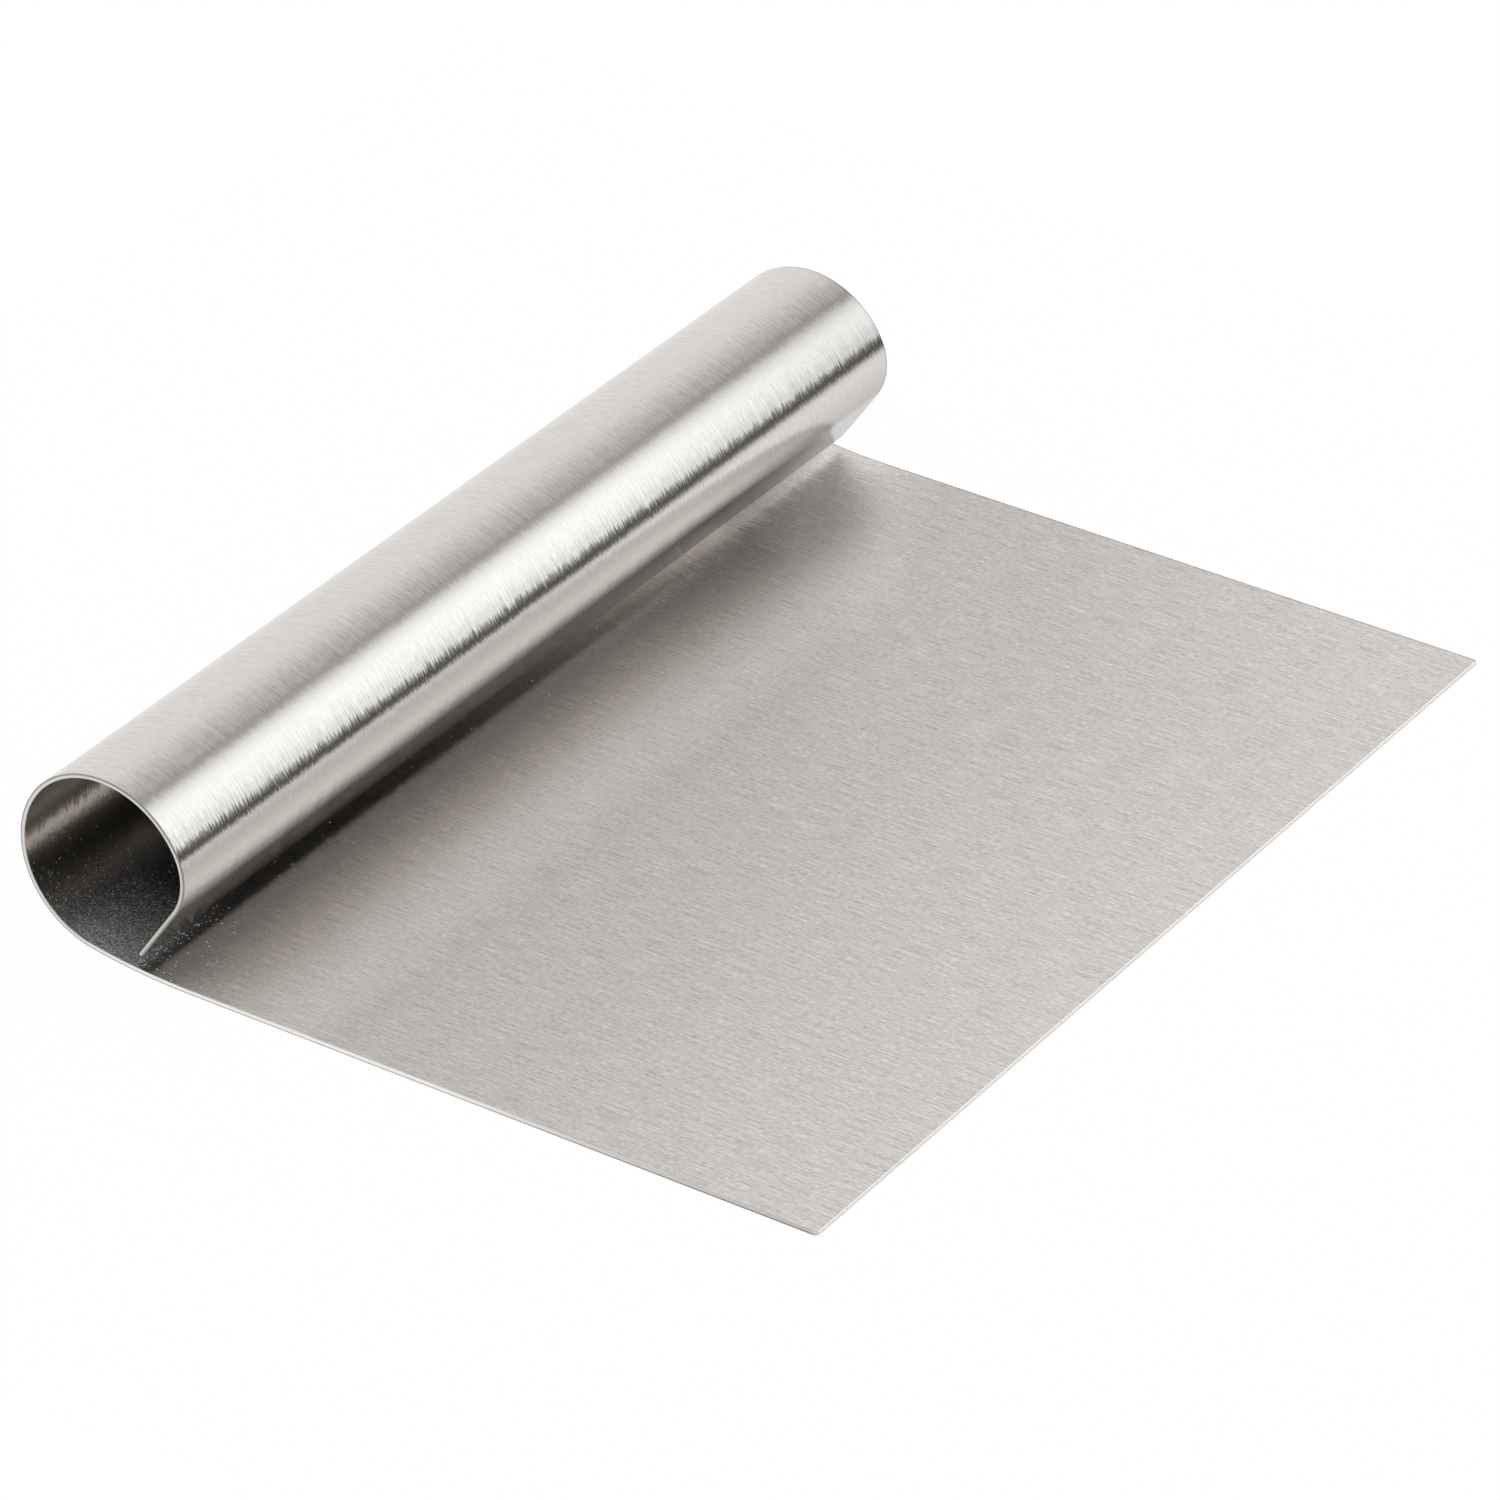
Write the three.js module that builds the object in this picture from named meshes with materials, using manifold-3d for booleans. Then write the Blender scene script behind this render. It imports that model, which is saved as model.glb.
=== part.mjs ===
// A dough scraper made from one sheet of brushed stainless steel. The front is a flat blade, and the back
// is rolled over into an open tube that is the handle. The sheet's free edge comes down in front of the
// roll as a short straight tail, and stops just above the blade. Nothing is welded, riveted or capped.
// Millimetres, +Z up. X runs along the handle, and the cutting edge is at -Y. The origin is on the table,
// under the middle of the scraper.
import * as THREE from 'three';
import { mergeVertices } from 'three/addons/utils/BufferGeometryUtils.js';
import Module from 'manifold-3d';

// Overall sizes
const width = 150; // along the handle and the cutting edge
const depth = 111; // from the cutting edge to the back of the handle
const sheetThickness = 0.6;
const cornerRadius = 0.5; // of the two corners beside the cutting edge, seen from above

// Bends, in the order in which the sheet runs from the blade to its free edge
const heelInsideRadius = 80; // the gentle rise from the blade into the handle
const heelAngle = 10; // degrees turned by the heel
const rollInsideRadius = 11.5; // the handle's tube
const lipInsideRadius = 7.8; // the tighter bend below the front of the tube
const lipAngle = 61; // degrees turned by the lip
const tailSlope = 56; // degrees by which the tail points down from level
const tailGap = 1.9; // open height between the blade and the tail's free edge

// Fineness of the facets
const bendStep = 3.5; // degrees turned by one facet of a bend
const cornerStep = 15; // degrees turned by one facet of a corner
const cutMargin = 1; // how far a corner cut reaches past the sheet
const samePoint = 1e-6; // points nearer than this are one point

const quarterTurn = 90;
const fullTurn = 360;
const rollAngle = fullTurn - tailSlope - heelAngle - lipAngle;
const frontEdge = -depth / 2;

// A point of the section at a distance from a bend's centre, where the sheet runs in the given direction.
// Direction 0 is along +Y and 90 is straight up. The outer face lies to the right of the way it runs.
function pointOnBend(centre, radius, direction) {
  const turn = THREE.MathUtils.degToRad(direction);
  return new THREE.Vector2(centre.x + radius * Math.sin(turn), centre.y - radius * Math.cos(turn));
}

// The heel, roll and lip as a chain of bends, each tangent to the one before it. The heel's centre stands
// far enough forward for the back of the roll to reach the overall depth.
function makeBends() {
  const sizes = [
    { inside: heelInsideRadius, angle: heelAngle },
    { inside: rollInsideRadius, angle: rollAngle },
    { inside: lipInsideRadius, angle: lipAngle },
  ];
  const rollOffset = (heelInsideRadius - rollInsideRadius) * Math.sin(THREE.MathUtils.degToRad(heelAngle));
  const heelStart = depth / 2 - sheetThickness - rollInsideRadius - rollOffset;
  let centre = new THREE.Vector2(heelStart, sheetThickness + heelInsideRadius);
  let direction = 0;
  return sizes.map(({ inside, angle }, index) => {
    const bend = { centre, inside, start: direction, end: direction + angle };
    const next = sizes[index + 1];
    if (next) {
      centre = pointOnBend(centre, inside - next.inside, bend.end);
    }
    direction = bend.end;
    return bend;
  });
}

// The points of one bend's inner or outer face, in the order in which the sheet runs.
function bendPoints(bend, offset) {
  const radius = bend.inside + offset;
  const from = THREE.MathUtils.degToRad(bend.start - quarterTurn);
  const to = THREE.MathUtils.degToRad(bend.end - quarterTurn);
  const arc = new THREE.EllipseCurve(bend.centre.x, bend.centre.y, radius, radius, from, to);
  return arc.getPoints(Math.ceil((bend.end - bend.start) / bendStep));
}

// The tail's length, from the end of the lip down to the open gap above the blade.
function tailLength(lip) {
  const lipEnd = pointOnBend(lip.centre, lip.inside + sheetThickness, lip.end);
  return (lipEnd.y - sheetThickness - tailGap) / Math.sin(THREE.MathUtils.degToRad(tailSlope));
}

// The sheet's section in the YZ plane, once round: the underside and outer face out to the tail's free
// edge, then back along the inner face and the blade's top.
function sheetSection() {
  const bends = makeBends();
  const lip = bends.at(-1);
  const heading = THREE.MathUtils.degToRad(lip.end);
  const tail = new THREE.Vector2(Math.cos(heading), Math.sin(heading)).multiplyScalar(tailLength(lip));
  const outerFace = bends.flatMap((bend) => bendPoints(bend, sheetThickness));
  const innerFace = bends.flatMap((bend) => bendPoints(bend, 0));
  outerFace.push(outerFace.at(-1).clone().add(tail));
  innerFace.push(innerFace.at(-1).clone().add(tail));
  const points = [new THREE.Vector2(frontEdge, 0), ...outerFace, ...innerFace.reverse()];
  points.push(new THREE.Vector2(frontEdge, sheetThickness));
  const isNew = (point, index) => index === 0 || point.distanceTo(points[index - 1]) > samePoint;
  return new THREE.Shape(points.filter(isNew));
}

// What is cut away at one front corner: the square corner less the quarter round that stays. The side is
// -1 for the left end of the cutting edge and 1 for the right end.
function cornerCut(side) {
  const reach = cornerRadius + cutMargin;
  const quarterRound = new THREE.EllipseCurve(0, 0, cornerRadius, cornerRadius, 0, -Math.PI / 2, true);
  const outline = [
    ...quarterRound.getPoints(Math.round(quarterTurn / cornerStep)),
    new THREE.Vector2(0, -reach),
    new THREE.Vector2(reach, -reach),
    new THREE.Vector2(reach, 0),
  ];
  const shape = new THREE.Shape(outline.map((point) => new THREE.Vector2(side * point.x, point.y)));
  const cut = new THREE.ExtrudeGeometry(shape, {
    depth: sheetThickness + 2 * cutMargin,
    bevelEnabled: false,
  });
  return cut.translate(side * (width / 2 - cornerRadius), frontEdge + cornerRadius, -cutMargin);
}

const wasm = await Module();
wasm.setup();

// A closed geometry as a solid that can be cut.
function toSolid(geometry) {
  geometry.deleteAttribute('normal');
  geometry.deleteAttribute('uv');
  const merged = mergeVertices(geometry);
  const vertProperties = new Float32Array(merged.getAttribute('position').array);
  const triVerts = new Uint32Array(merged.getIndex().array);
  return new wasm.Manifold(new wasm.Mesh({ numProp: 3, vertProperties, triVerts }));
}

// A solid as a geometry with flat facets.
function toGeometry(solid) {
  const mesh = solid.getMesh();
  const geometry = new THREE.BufferGeometry();
  geometry.setAttribute('position', new THREE.BufferAttribute(new Float32Array(mesh.vertProperties), 3));
  geometry.setIndex(new THREE.BufferAttribute(new Uint32Array(mesh.triVerts), 1));
  geometry.computeVertexNormals();
  return geometry;
}

// The whole sheet: its section carried along the handle, with the two front corners rounded off.
function scraperSheet() {
  const section = new THREE.ExtrudeGeometry(sheetSection(), { depth: width, bevelEnabled: false });
  const alongY = new THREE.Vector3(0, 1, 0);
  const alongZ = new THREE.Vector3(0, 0, 1);
  const alongX = new THREE.Vector3(1, 0, 0);
  section.applyMatrix4(new THREE.Matrix4().makeBasis(alongY, alongZ, alongX));
  section.translate(-width / 2, 0, 0);
  const rounded = [-1, 1].reduce((solid, side) => solid.subtract(toSolid(cornerCut(side))), toSolid(section));
  const brushedSteel = new THREE.MeshStandardMaterial({ color: 0xc9c4bf, metalness: 1, roughness: 0.32 });
  const sheet = new THREE.Mesh(toGeometry(rounded), brushedSteel);
  sheet.name = 'scraper_sheet';
  return sheet;
}

const doughScraper = new THREE.Group();
doughScraper.add(scraperSheet());

export default doughScraper;
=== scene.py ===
"""A dough scraper bent from one sheet of brushed stainless steel, on a pale studio floor.

Laid out as a Blender add-on and run as a script. Lengths are in metres unless a name says mm, in the frame
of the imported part: X along the handle, the cutting edge at -Y, +Z up, the origin on the table.
"""

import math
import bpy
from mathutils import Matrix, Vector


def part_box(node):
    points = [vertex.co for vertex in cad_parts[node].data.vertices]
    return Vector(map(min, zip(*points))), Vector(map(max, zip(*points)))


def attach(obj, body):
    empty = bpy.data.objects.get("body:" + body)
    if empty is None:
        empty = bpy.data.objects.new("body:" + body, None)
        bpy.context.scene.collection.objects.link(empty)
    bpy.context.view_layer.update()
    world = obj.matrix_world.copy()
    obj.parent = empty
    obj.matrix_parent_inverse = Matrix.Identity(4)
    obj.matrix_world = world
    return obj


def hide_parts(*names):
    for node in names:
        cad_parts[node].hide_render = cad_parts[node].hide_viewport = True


bl_info = {
    "name": "Dough scraper",
    "version": (1, 0, 0),
    "blender": (4, 5, 0),
    "location": "View3D > Sidebar > Scraper",
    "description": "Builds a rolled-handle dough scraper of brushed steel sheet and its photo stage",
    "category": "Add Mesh",
}

import bpy
import numpy as np
from bpy.props import FloatProperty, FloatVectorProperty, PointerProperty
from mathutils import Matrix, Vector

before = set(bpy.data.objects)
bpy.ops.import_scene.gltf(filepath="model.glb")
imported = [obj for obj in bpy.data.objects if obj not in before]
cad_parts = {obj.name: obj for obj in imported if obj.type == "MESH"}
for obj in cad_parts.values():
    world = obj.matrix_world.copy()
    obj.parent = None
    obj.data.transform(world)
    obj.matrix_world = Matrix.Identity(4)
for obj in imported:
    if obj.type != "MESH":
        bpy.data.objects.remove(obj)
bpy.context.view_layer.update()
SHEET_LOW, SHEET_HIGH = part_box("scraper_sheet")
MM = 0.001
LEFT_END, RIGHT_END = SHEET_LOW.x, SHEET_HIGH.x

# Fineness of the sheet's corners
CORNER_FACES = 8  # round a corner of the flat blank
EDGE_FACES = 3  # round one side of the deburred edge

# Where the steel's finish and its painted light and shade change: mm along the flat blank are spread over its
# reach
BLANK_REACH = 170 * MM
ASKEW_FROM, ASKEW_TO = RIGHT_END - 29 * MM, RIGHT_END - 1 * MM  # the inner face's painted light and shade shift back, with its finish
RIGHT_FROM, RIGHT_TO = RIGHT_END - 55 * MM, RIGHT_END - 9 * MM  # the right end's painted light and shade take over
ROLLED_FROM, ROLLED_TO = RIGHT_END - 0.35 * MM, RIGHT_END - 0.15 * MM  # painted shade where the shear rolled the edge over
DUSTY_FROM, DUSTY_TO = LEFT_END + 17 * MM, LEFT_END + 1 * MM  # dust gathers towards the left end
RIGHT_EDGE_FROM, RIGHT_EDGE_TO = RIGHT_END - 0.6 * MM, RIGHT_END - 0.3 * MM  # painted shade darkens the cut edge
FRONT_EDGE = 0.4 * MM  # cut edges nearer the front than this belong to the cutting edge

# Shares of a speck's cell, of a speck's light, of painted shade on the right edges and of the floor's look
SPECK_SIZES = (0.2, 0.55)  # radius of the smallest and the largest speck
SPECK_SHINES = (0.5, 1.0)  # brightness of the dimmest and the brightest speck
CLEAN_SHARE = 0.03  # dust away from the left end, beside the dust at it
ROLLED_PAINTED_SHADE = 0.55  # painted shade: brightness of the rolled-over edge, beside the face
RIGHT_EDGE_PAINTED_SHADE = 0.25  # painted shade: brightness of the right cut edge, beside the left one
FLOOR_WHITE = 0.99  # plain white in the floor's look, and the rest shows the shadow


def linear(hex_colour):
    """An sRGB hex colour such as "#CFCAC5" as linear red, green, blue and an alpha of 1."""
    srgb = np.array([int(hex_colour[i : i + 2], 16) for i in (1, 3, 5)]) / 255
    low, high = srgb / 12.92, ((srgb + 0.055) / 1.055) ** 2.4
    return (*np.where(srgb <= 0.04045, low, high), 1.0)


class ScraperSheetSettings(bpy.types.PropertyGroup):
    """Sizes of the bent sheet."""

    width: FloatProperty(
        name="Width",
        description="Length of the handle and of the cutting edge",
        default=SHEET_HIGH.x - SHEET_LOW.x,
        unit="LENGTH",
    )
    depth: FloatProperty(
        name="Depth",
        description="From the cutting edge to the back of the handle",
        default=SHEET_HIGH.y - SHEET_LOW.y,
        unit="LENGTH",
    )
    thickness: FloatProperty(
        name="Sheet",
        description="Thickness of the steel sheet",
        default=0.6 * MM,
        unit="LENGTH",
    )
    corner: FloatProperty(
        name="Front corners",
        description="Radius of the two corners beside the cutting edge, seen from above",
        default=0.5 * MM,
        unit="LENGTH",
    )
    tail_corner: FloatProperty(
        name="Tail corners",
        description="Radius of the two corners at the sheet's free edge",
        default=0.4 * MM,
        unit="LENGTH",
    )
    edge_break: FloatProperty(
        name="Edge break",
        description="Radius of the deburred edge all round the sheet",
        default=0.12 * MM,
        unit="LENGTH",
    )
    heel_radius: FloatProperty(
        name="Heel",
        description="Inside radius of the rise from the blade into the handle",
        default=80.0 * MM,
        unit="LENGTH",
    )
    heel_angle: FloatProperty(
        name="Heel angle",
        description="Angle that the heel turns through",
        default=math.radians(10),
        subtype="ANGLE",
    )
    roll_radius: FloatProperty(
        name="Roll",
        description="Inside radius of the handle's tube",
        default=11.5 * MM,
        unit="LENGTH",
    )
    lip_radius: FloatProperty(
        name="Lip",
        description="Inside radius of the tighter bend below the front of the tube",
        default=7.8 * MM,
        unit="LENGTH",
    )
    lip_angle: FloatProperty(
        name="Lip angle",
        description="Angle that the lip turns through",
        default=math.radians(61),
        subtype="ANGLE",
    )
    tail_slope: FloatProperty(
        name="Tail slope",
        description="How steeply the tail points down",
        default=math.radians(56),
        subtype="ANGLE",
    )
    tail_gap: FloatProperty(
        name="Tail gap",
        description="Open height between the blade and the tail's free edge",
        default=1.9 * MM,
        unit="LENGTH",
    )
    flat_step: FloatProperty(
        name="Flat step",
        description="Length of one face on the flat stretches",
        default=2.0 * MM,
        unit="LENGTH",
    )
    bend_step: FloatProperty(
        name="Bend step",
        description="Angle turned by one face of a bend",
        default=math.radians(1),
        subtype="ANGLE",
    )


class ScraperFinishSettings(bpy.types.PropertyGroup):
    """Colours, gloss and brush marks of the steel, the dust on it, and light and shade painted into its
    tones.
    """

    steel: FloatVectorProperty(
        name="Steel",
        description="Colour of the steel, at its brightest",
        default=linear("#FFF9F4"),
        size=4,
        min=0,
        max=1,
        subtype="COLOR",
    )
    # Painted reflection: the warm tint of the bright band inside the handle's back
    warm_painted_reflection: FloatVectorProperty(
        name="Straw",
        description="Colour of the steel inside the handle's back, at its brightest",
        default=linear("#FFF0DF"),
        size=4,
        min=0,
        max=1,
        subtype="COLOR",
    )
    cut_edge: FloatVectorProperty(
        name="Cut edge",
        description="Colour of the cut edge of the sheet, at its brightest",
        default=linear("#F4F2EF"),
        size=4,
        min=0,
        max=1,
        subtype="COLOR",
    )
    dust: FloatVectorProperty(
        name="Dust",
        description="Colour of the dust",
        default=linear("#F4F1EC"),
        size=4,
        min=0,
        max=1,
        subtype="COLOR",
    )
    # Painted light: the blade's top is lighter in its colour towards the cutting edge
    front_painted_light: FloatProperty(
        name="Front tone",
        description="Share of light reflected by the blade's top at the cutting edge",
        default=0.65,
        min=0,
        max=1,
        subtype="FACTOR",
    )
    middle_tone: FloatProperty(
        name="Middle tone",
        description="Share of light reflected by the middle of the blade's top",
        default=0.56,
        min=0,
        max=1,
        subtype="FACTOR",
    )
    # Painted light: the blade's top is lighter in its colour beside the handle
    heel_painted_light: FloatProperty(
        name="Heel tone",
        description="Share of light reflected by the blade's top beside the handle",
        default=0.82,
        min=0,
        max=1,
        subtype="FACTOR",
    )
    # Painted shade: the sheet below the tail is darker in its colour
    under_painted_shade: FloatProperty(
        name="Under tone",
        description="Share of light reflected by the sheet below the tail",
        default=0.40,
        min=0,
        max=1,
        subtype="FACTOR",
    )
    # Painted light: the bottom and lower back of the handle's inside are lighter in its colour
    bore_painted_light: FloatProperty(
        name="Bore tone",
        description="Share of light reflected by the bottom and the lower back of the handle's inside",
        default=0.88,
        min=0,
        max=1,
        subtype="FACTOR",
    )
    # Painted shade: the inside of the handle's front is nearly black in its colour
    front_bore_painted_shade: FloatProperty(
        name="Front bore tone",
        description="Share of light reflected by the inside of the handle's front",
        default=0.15,
        min=0,
        max=1,
        subtype="FACTOR",
    )
    # Painted reflection: a bright band in the colour of the handle's inside at its back
    back_painted_reflection: FloatProperty(
        name="Back tone",
        description="Share of light reflected by the inside of the handle's back",
        default=1.0,
        min=0,
        max=1,
        subtype="FACTOR",
    )
    outer_tone: FloatProperty(
        name="Outer tone",
        description="Share of light reflected by the underside and the handle's outside",
        default=0.63,
        min=0,
        max=1,
        subtype="FACTOR",
    )
    # Painted light: the lip's outside is lighter in its colour
    lip_painted_light: FloatProperty(
        name="Lip tone",
        description="Share of light reflected by the lip's outside",
        default=0.72,
        min=0,
        max=1,
        subtype="FACTOR",
    )
    # Painted shade: the tail's outside is darker in its colour
    tail_painted_shade: FloatProperty(
        name="Tail tone",
        description="Share of light reflected by the tail's outside",
        default=0.57,
        min=0,
        max=1,
        subtype="FACTOR",
    )
    # Painted shade: the handle's front is darker in its colour at the right end, which dims the highlight
    # there
    right_painted_shading: FloatProperty(
        name="Right end tone",
        description="Share of light reflected by the handle's front at the right end",
        default=0.54,
        min=0,
        max=1,
        subtype="FACTOR",
    )
    # Painted shade: the tail's outside is darker still in its colour at the right end
    right_tail_painted_shade: FloatProperty(
        name="Right end tail tone",
        description="Share of light reflected by the tail's outside at the right end",
        default=0.36,
        min=0,
        max=1,
        subtype="FACTOR",
    )
    # Painted light: the inside of the handle's front is less dark in its colour at the right end
    right_bore_painted_light: FloatProperty(
        name="Right end bore tone",
        description="Share of light reflected by the inside of the handle's front at the right end",
        default=0.4,
        min=0,
        max=1,
        subtype="FACTOR",
    )
    blade_roughness: FloatProperty(
        name="Blade roughness",
        description="Roughness of the blade's top",
        default=0.42,
        min=0,
        max=1,
        subtype="FACTOR",
    )
    bore_roughness: FloatProperty(
        name="Bore roughness",
        description="Roughness of the handle's inside",
        default=0.23,
        min=0,
        max=1,
        subtype="FACTOR",
    )
    outer_roughness: FloatProperty(
        name="Outer roughness",
        description="Roughness of the underside and of the handle's outside",
        default=0.20,
        min=0,
        max=1,
        subtype="FACTOR",
    )
    tail_roughness: FloatProperty(
        name="Tail roughness",
        description="Roughness of the lip's and the tail's outside",
        default=0.17,
        min=0,
        max=1,
        subtype="FACTOR",
    )
    blade_anisotropy: FloatProperty(
        name="Blade anisotropy",
        description="How much further a highlight spreads across the grain than along it, on the blade",
        default=0.7,
        min=0,
        max=1,
        subtype="FACTOR",
    )
    bore_anisotropy: FloatProperty(
        name="Bore anisotropy",
        description="How much further a highlight spreads across the grain than along it, in the bore",
        default=0.8,
        min=0,
        max=1,
        subtype="FACTOR",
    )
    outer_anisotropy: FloatProperty(
        name="Outer anisotropy",
        description="How much further a highlight spreads across the grain than along it, outside",
        default=0.5,
        min=0,
        max=1,
        subtype="FACTOR",
    )
    blade_lean: FloatProperty(
        name="Blade lean",
        description="How far a brush mark leans along the grain, as a slope, on the blade's top",
        default=0.12,
    )
    under_lean: FloatProperty(
        name="Under lean",
        description="How far a brush mark leans along the grain, as a slope, below the tail",
        default=0.5,
    )
    bore_lean: FloatProperty(
        name="Bore lean",
        description="How far a brush mark leans along the grain, as a slope, inside the handle",
        default=0.2,
    )
    outer_lean: FloatProperty(
        name="Outer lean",
        description="How far a brush mark leans along the grain, as a slope, outside",
        default=0.18,
    )
    # Shifts the inner face's painted light and shade, and its finish with them, back at the right end
    askew_mm: FloatProperty(
        name="Askew",
        description="How far the inner face's finish shifts back at the right end, in millimetres",
        default=12.0,
    )
    streak_width_mm: FloatProperty(
        name="Streak width",
        description="Width of one brush mark in millimetres, drawn coarse enough to show",
        default=0.2,
    )
    streak_length_mm: FloatProperty(
        name="Streak length",
        description="Length of the long brush marks on the inner face in millimetres",
        default=5.0,
    )
    hair_length_mm: FloatProperty(
        name="Hair length",
        description="Length of the short brush marks on the inner face in millimetres",
        default=0.8,
    )
    streak_contrast: FloatProperty(
        name="Streak contrast",
        description="How strongly the brush marks vary in tone on the inner face",
        default=1.1,
    )
    roll_streak_mm: FloatProperty(
        name="Roll streak length",
        description="Length of the long brush marks on the handle's outside in millimetres",
        default=8.0,
    )
    roll_hair_mm: FloatProperty(
        name="Roll hair length",
        description="Length of the short brush marks on the handle's outside in millimetres",
        default=1.2,
    )
    roll_contrast: FloatProperty(
        name="Roll contrast",
        description="How strongly the brush marks vary in tone on the handle's outside",
        default=0.45,
    )
    dust_mm: FloatProperty(
        name="Dust spacing",
        description="Distance between the places that can hold a speck of dust, in millimetres",
        default=0.24,
    )
    dust_blade: FloatProperty(
        name="Dust on the blade",
        description="Share of those places that hold a speck beside the handle",
        default=0.06,
        subtype="FACTOR",
    )
    dust_bore: FloatProperty(
        name="Dust in the bore",
        description="Share of those places that hold a speck at the bottom of the handle's inside",
        default=1.0,
        subtype="FACTOR",
    )
    dust_tilt: FloatProperty(
        name="Dust tilt",
        description="Steepest slope of a speck to either side",
        default=1.3,
    )
    dust_film: FloatProperty(
        name="Dust film",
        description="How much of the steel a thin film hides where every place holds a speck",
        default=0.4,
        subtype="FACTOR",
    )


class ScraperStageSettings(bpy.types.PropertyGroup):
    """Camera, light and floor."""

    azimuth: FloatProperty(
        name="Azimuth",
        description="Direction of the camera round the scraper, from the cutting edge",
        default=math.radians(-56.941),
        subtype="ANGLE",
    )
    elevation: FloatProperty(
        name="Elevation",
        description="Height of the camera above the table",
        default=math.radians(31.544),
        subtype="ANGLE",
    )
    roll: FloatProperty(
        name="Roll",
        description="Turn of the camera about its own axis",
        default=math.radians(0.727),
        subtype="ANGLE",
    )
    distance: FloatProperty(
        name="Distance",
        description="From the camera to the point that it aims at",
        default=0.99984,
        unit="LENGTH",
    )
    aim: FloatVectorProperty(
        name="Aim",
        description="Sideways and upward offset of the camera from the scraper's middle",
        default=(-2.531 * MM, 5.321 * MM),
        size=2,
        unit="LENGTH",
    )
    lens: FloatProperty(
        name="Lens",
        description="Focal length on a 36 mm wide sensor",
        default=198.954,
        subtype="NONE",
    )
    softbox_tint: FloatVectorProperty(
        name="Softbox tint",
        description="Colour of the large light above the front, beside the walls' white",
        subtype="COLOR",
        default=(1.0, 1.034, 1.057),
    )
    flag: FloatProperty(
        name="Flag",
        description="How much of the light a dark flag takes away at the front left",
        default=0.55,
        subtype="FACTOR",
    )
    side_wall: FloatProperty(
        name="Side wall",
        description="Brightness of the wall beyond the handle's far end, beside the rest of the tent",
        default=3.0,
    )
    floor_half: FloatProperty(
        name="Floor",
        description="Half the width of the floor",
        default=0.15,
        unit="LENGTH",
    )


def bend_chain(size):
    """The sheet's mid-line as stretches of (length, curvature), with where it starts.

    Flat blade, heel, roll, lip, tail. The roll turns through what the full turn leaves after the heel, the
    lip and the tail's slope. The blade is as long as the overall depth leaves, and the tail ends at the
    open gap above the blade.
    """
    half = size.thickness / 2
    heel, roll, lip = (r + half for r in (size.heel_radius, size.roll_radius, size.lip_radius))
    roll_angle = math.tau - size.tail_slope - size.heel_angle - size.lip_angle
    roll_end = size.heel_angle + roll_angle
    back_of_heel = (heel - roll) * math.sin(size.heel_angle) + roll + half
    blade = size.depth - back_of_heel
    lip_centre = (
        half
        + heel
        - (heel - roll) * math.cos(size.heel_angle)
        - (roll - lip) * math.cos(roll_end)
    )
    lip_end = lip_centre - (lip + half) * math.cos(size.tail_slope)
    tail = (lip_end - size.thickness - size.tail_gap) / math.sin(size.tail_slope)
    stretches = [
        (blade, 0.0),
        (heel * size.heel_angle, 1 / heel),
        (roll * roll_angle, 1 / roll),
        (lip * size.lip_angle, 1 / lip),
        (tail, 0.0),
    ]
    return np.array(stretches), (-size.depth / 2, half)


def mid_line(stretches, start, s):
    """Place (y, z) and heading of the mid-line at the developed lengths s.

    Along a stretch of curvature k the heading grows as a = a0 + k (s - s0), and the place is
    y = y0 + (sin a - sin a0) / k and z = z0 - (cos a - cos a0) / k, or a straight run where k is 0.
    """
    ends = np.concatenate([[0.0], np.cumsum(stretches[:, 0])])
    which = np.clip(np.searchsorted(ends, s, side="right") - 1, 0, len(stretches) - 1)
    y0, z0, a0 = [start[0]], [start[1]], [0.0]
    for length, k in stretches:
        a1 = a0[-1] + k * length
        along = length * np.sinc((a1 - a0[-1]) / math.tau)
        middle = (a0[-1] + a1) / 2
        y0.append(y0[-1] + along * math.cos(middle))
        z0.append(z0[-1] + along * math.sin(middle))
        a0.append(a1)
    y0, z0, a0 = (np.array(x)[which] for x in (y0, z0, a0))
    run, k = s - ends[which], stretches[which, 1]
    heading = a0 + k * run
    along = run * np.sinc((heading - a0) / math.tau)
    middle = (a0 + heading) / 2
    return y0 + along * np.cos(middle), z0 + along * np.sin(middle), heading


def blank_rows(size, stretches):
    """Rows of the flat blank, inset by the edge break: length s, half width w and outward normal.

    On the front corners s = e + (r - e)(1 - cos a) and w = W/2 - r + (r - e) sin a, for a from 0 to a
    quarter turn, and the tail's corners are the same seen from the other end. The normal has a share across
    the blank and a share along it.
    """
    e, half_width, total = size.edge_break, size.width / 2, stretches[:, 0].sum()
    a = np.linspace(0, math.pi / 2, CORNER_FACES + 1)
    front_r, tail_r = size.corner, size.tail_corner
    front_s = e + (front_r - e) * (1 - np.cos(a))
    front_w = half_width - front_r + (front_r - e) * np.sin(a)
    tail_s = total - e - (tail_r - e) * (1 - np.cos(a[::-1]))
    tail_w = half_width - tail_r + (tail_r - e) * np.sin(a[::-1])
    ends = np.cumsum(stretches[:, 0])
    counts = np.where(
        stretches[:, 1] > 0,
        stretches[:, 0] * stretches[:, 1] / size.bend_step,
        stretches[:, 0] / size.flat_step,
    )
    marks = np.concatenate([[front_r], ends[:-1], [total - tail_r]])
    runs = [np.linspace(p, q, max(2, round(n)) + 1)[1:] for p, q, n in zip(marks, marks[1:], counts)]
    middle = np.concatenate(runs)[:-1]
    ones = np.ones(len(middle))
    s = np.concatenate([front_s, middle, tail_s])
    w = np.concatenate([front_w, ones * (half_width - e), tail_w])
    across = np.concatenate([np.sin(a), ones, np.sin(a[::-1])])
    along = np.concatenate([-np.cos(a), 0 * ones, np.cos(a[::-1])])
    return s, w, across, along


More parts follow.
